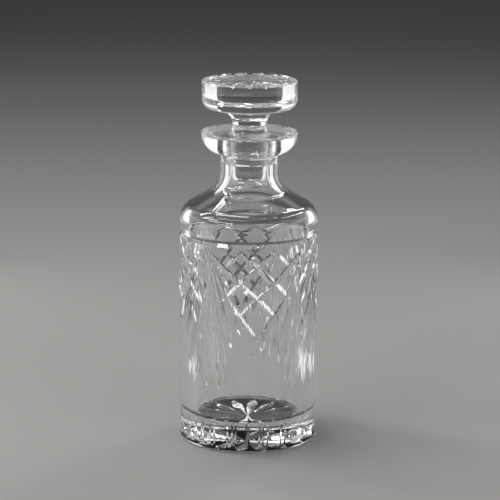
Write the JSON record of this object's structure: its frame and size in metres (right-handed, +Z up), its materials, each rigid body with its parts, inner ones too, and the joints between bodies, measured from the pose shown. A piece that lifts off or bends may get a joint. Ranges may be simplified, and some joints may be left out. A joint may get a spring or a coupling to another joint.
{
  "type": "wine decanter",
  "caption": "Clear cut-glass decanter: cylindrical bottle with diamond lattices, fans and a star base, and a ground-in stopper with a flat round head.",
  "frame": {"origin": "middle of the foot, on the surface the decanter stands on", "axes": "+Z up along the bottle's axis, -Y towards the front, +X to the right seen from the front"},
  "size_m": [0.0912, 0.0912, 0.2385],
  "materials": {
    "crystal": "clear, fire-polished and cut, ground inside the neck",
    "stopper_crystal": "clear and polished, with a ground plug"
  },
  "bodies": {
    "bottle": {"bottle": "crystal"},
    "stopper": {"stopper": "stopper_crystal"}
  },
  "joints": [
    {"name": "stopper_lift", "type": "slide", "parent": "bottle", "child": "stopper", "axis": [0, 0, 1], "range_m": [0, 0.05]}
  ]
}
